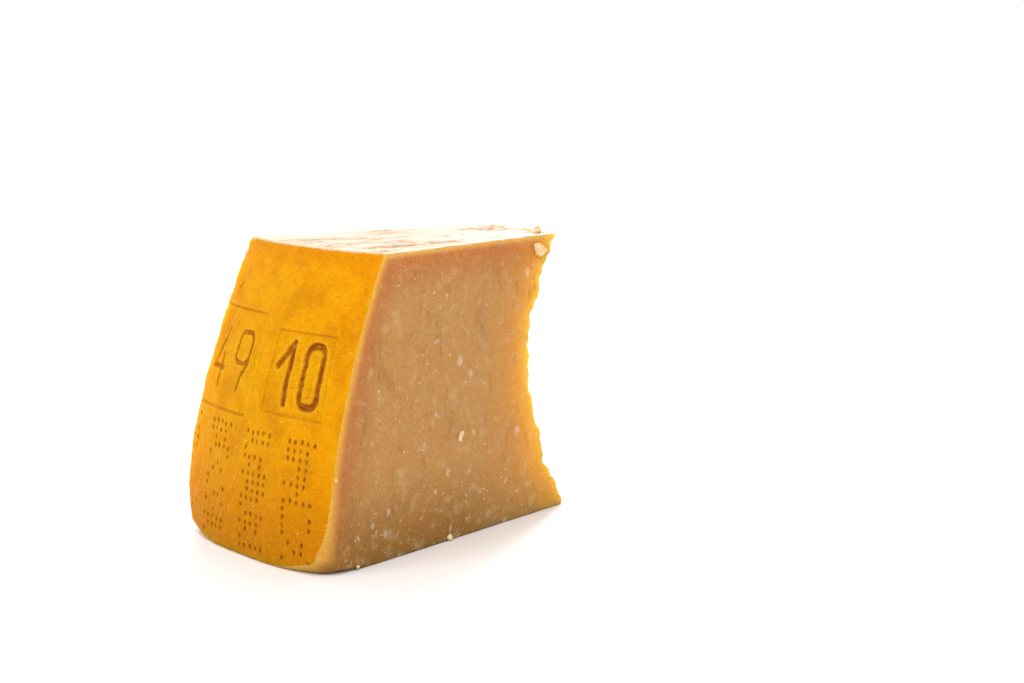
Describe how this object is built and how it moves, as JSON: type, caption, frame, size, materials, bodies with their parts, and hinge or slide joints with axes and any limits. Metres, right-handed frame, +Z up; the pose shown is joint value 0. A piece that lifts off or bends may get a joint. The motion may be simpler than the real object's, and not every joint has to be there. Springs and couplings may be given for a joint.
{
  "type": "cheese wedge",
  "caption": "Wedge of hard aged cheese cut from the upper half of a barrel-sided wheel, with a stamped amber rind, two smooth cut faces and a rough broken end.",
  "frame": {"origin": "middle of the wedge's bounding box, on the base it stands on", "axes": "+Z up, +X along the wedge's middle line from the rind towards the wheel's middle, +Y across the wedge"},
  "size_m": [0.1502, 0.0978, 0.12],
  "materials": {
    "aged_cheese": "oily straw-coloured paste with pale crystals under a waxy amber rind"
  },
  "bodies": {
    "root": {"cheese_wedge": "aged_cheese"}
  },
  "joints": []
}
